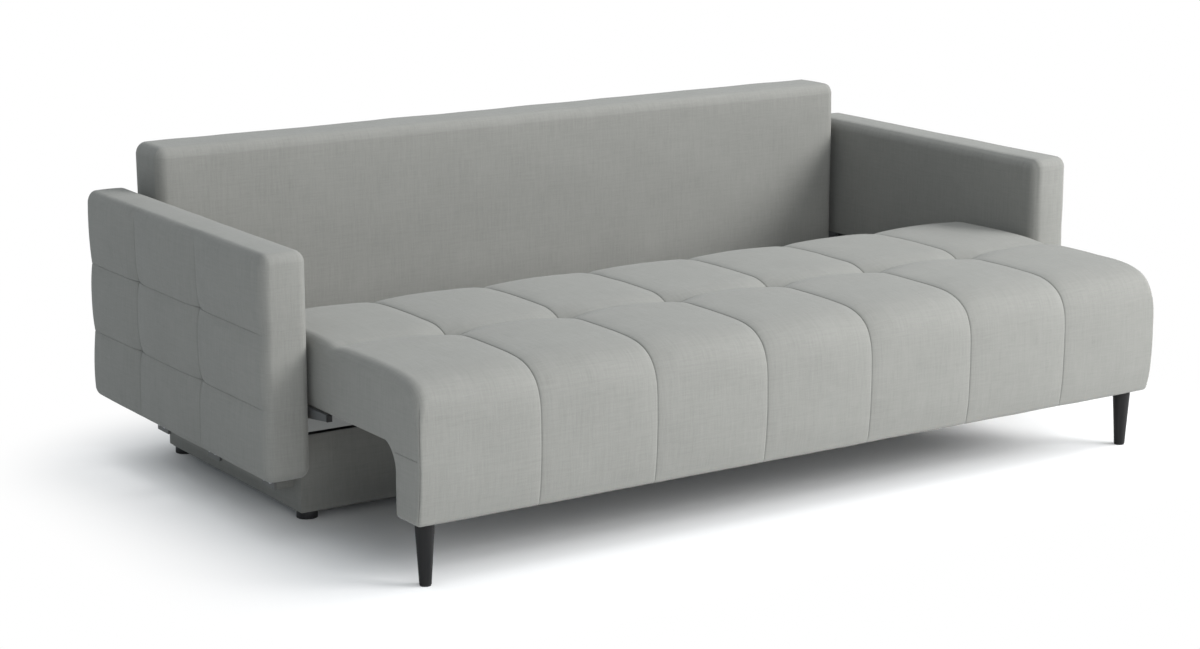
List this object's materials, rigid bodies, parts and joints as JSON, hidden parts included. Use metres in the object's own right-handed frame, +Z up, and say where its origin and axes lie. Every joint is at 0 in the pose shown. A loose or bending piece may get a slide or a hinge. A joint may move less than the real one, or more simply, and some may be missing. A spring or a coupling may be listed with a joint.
{
  "type": "sofa bed",
  "caption": "Sofa with quilted arms whose tufted seat rolls forward on rails and front legs and whose back slides forward and lies flat to make a double bed over a bedding box.",
  "frame": {"origin": "middle of the footprint on the floor, with the seat pulled out", "axes": "+X along the sofa's length to the right as seen from the front, +Y to the rear, +Z up"},
  "size_m": [2.3004, 1.3769, 0.752],
  "materials": {
    "upholstery": "matte",
    "timber": "matte",
    "plywood": "matte",
    "white_board": "matte",
    "black_wood": "matte",
    "black_plastic": "matte",
    "grey_steel": "satin",
    "zinc_steel": "satin",
    "bush_plastic": "satin",
    "rubber": "matte",
    "webbing": "matte",
    "lining": "matte"
  },
  "bodies": {
    "base": {"box_front_board": "upholstery", "box_side_board_left": "upholstery", "box_side_board_right": "upholstery", "box_rear_board": "upholstery", "box_bottom_panel": "white_board", "box_divider": "timber", "box_corner_blocks": "timber", "base_glides": "black_plastic", "arm_bearer_left": "upholstery", "arm_bearer_right": "upholstery", "arm_brackets": "grey_steel", "bracket_bolts": "zinc_steel", "arm_inner_panel_left": "plywood", "arm_inner_panel_right": "plywood", "arm_frame_left": "timber", "arm_frame_right": "timber", "arm_pad_left": "upholstery", "arm_pad_right": "upholstery", "fixed_rail_left": "grey_steel", "fixed_rail_right": "grey_steel", "rail_screws": "zinc_steel", "back_guide_left": "grey_steel", "back_guide_right": "grey_steel"},
    "middle_rail_left": {"middle_rail_left": "grey_steel", "rail_end_cap_left": "black_plastic"},
    "middle_rail_right": {"middle_rail_right": "grey_steel", "rail_end_cap_right": "black_plastic"},
    "fixed_roller_left": {"fixed_roller_left": "black_plastic"},
    "fixed_roller_right": {"fixed_roller_right": "black_plastic"},
    "middle_roller_left": {"middle_roller_left": "black_plastic"},
    "middle_roller_right": {"middle_roller_right": "black_plastic"},
    "seat_roller_left": {"seat_roller_left": "black_plastic"},
    "seat_roller_right": {"seat_roller_right": "black_plastic"},
    "seat": {"seat_cushion": "upholstery", "apron_front_board": "timber", "apron_rear_board": "timber", "leg_blocks": "timber", "leg_left": "black_wood", "leg_right": "black_wood", "leg_pads": "black_plastic", "seat_side_rails": "timber", "seat_rear_rail": "timber", "seat_front_rail": "timber", "seat_cross_rails": "timber", "seat_webbing": "webbing", "seat_dust_cover": "lining", "seat_rear_ledge": "grey_steel", "ledge_pad": "rubber", "roller_brackets": "grey_steel", "catch_brackets": "grey_steel"},
    "seat_catch_left": {"seat_catch_left": "grey_steel"},
    "seat_catch_right": {"seat_catch_right": "grey_steel"},
    "back_carriage": {"back_carriages": "grey_steel"},
    "backrest": {"back_pad": "upholstery", "back_rails": "timber", "back_stiles": "timber", "back_pivot_plates": "grey_steel", "pivot_bushes": "bush_plastic", "back_webbing": "webbing", "back_rear_cover": "upholstery"}
  },
  "joints": [
    {"name": "seat_slide", "type": "slide", "parent": "base", "child": "seat", "axis": [0, 1, 0], "range_m": [0, 0.436]},
    {"name": "back_shift", "type": "slide", "parent": "base", "child": "back_carriage", "axis": [0, 1, 0], "range_m": [-0.416, 0]},
    {"name": "back_tilt", "type": "hinge", "parent": "back_carriage", "child": "backrest", "pos_m": [0, 0.671, 0.32], "axis": [1, 0, 0], "range_deg": [-90, 0]},
    {"name": "seat_catch_left_turn", "type": "hinge", "parent": "seat", "child": "seat_catch_left", "pos_m": [-0.6, -0.56, 0.21], "axis": [0, 0, -1], "range_deg": [0, 90]},
    {"name": "middle_rail_left_slide", "type": "slide", "parent": "base", "child": "middle_rail_left", "axis": [0, 1, 0], "range_m": [0, 0.218]},
    {"name": "fixed_roller_left_spin", "type": "hinge", "parent": "base", "child": "fixed_roller_left", "pos_m": [-1.03525, 0.016, 0.2785], "axis": [1, 0, 0], "range_deg": [-900, 0]},
    {"name": "middle_roller_left_spin", "type": "hinge", "parent": "middle_rail_left", "child": "middle_roller_left", "pos_m": [-1.03525, 0.278, 0.2785], "axis": [1, 0, 0], "range_deg": [-900, 0]},
    {"name": "seat_roller_left_spin", "type": "hinge", "parent": "seat", "child": "seat_roller_left", "pos_m": [-1.025, 0.002, 0.281], "axis": [1, 0, 0], "range_deg": [-1090, 0]},
    {"name": "seat_catch_right_turn", "type": "hinge", "parent": "seat", "child": "seat_catch_right", "pos_m": [0.6, -0.56, 0.21], "axis": [0, 0, 1], "range_deg": [0, 90]},
    {"name": "middle_rail_right_slide", "type": "slide", "parent": "base", "child": "middle_rail_right", "axis": [0, 1, 0], "range_m": [0, 0.218]},
    {"name": "fixed_roller_right_spin", "type": "hinge", "parent": "base", "child": "fixed_roller_right", "pos_m": [1.03525, 0.016, 0.2785], "axis": [1, 0, 0], "range_deg": [-900, 0]},
    {"name": "middle_roller_right_spin", "type": "hinge", "parent": "middle_rail_right", "child": "middle_roller_right", "pos_m": [1.03525, 0.278, 0.2785], "axis": [1, 0, 0], "range_deg": [-900, 0]},
    {"name": "seat_roller_right_spin", "type": "hinge", "parent": "seat", "child": "seat_roller_right", "pos_m": [1.025, 0.002, 0.281], "axis": [1, 0, 0], "range_deg": [-1090, 0]}
  ],
  "couplings": [
    {"joint": "middle_rail_left_slide", "follows": "seat_slide", "ratio": 0.5},
    {"joint": "fixed_roller_left_spin", "follows": "seat_slide", "rad_per_m": -35.714},
    {"joint": "middle_roller_left_spin", "follows": "seat_slide", "rad_per_m": -35.714},
    {"joint": "seat_roller_left_spin", "follows": "seat_slide", "rad_per_m": -43.478},
    {"joint": "middle_rail_right_slide", "follows": "seat_slide", "ratio": 0.5},
    {"joint": "fixed_roller_right_spin", "follows": "seat_slide", "rad_per_m": -35.714},
    {"joint": "middle_roller_right_spin", "follows": "seat_slide", "rad_per_m": -35.714},
    {"joint": "seat_roller_right_spin", "follows": "seat_slide", "rad_per_m": -43.478}
  ]
}
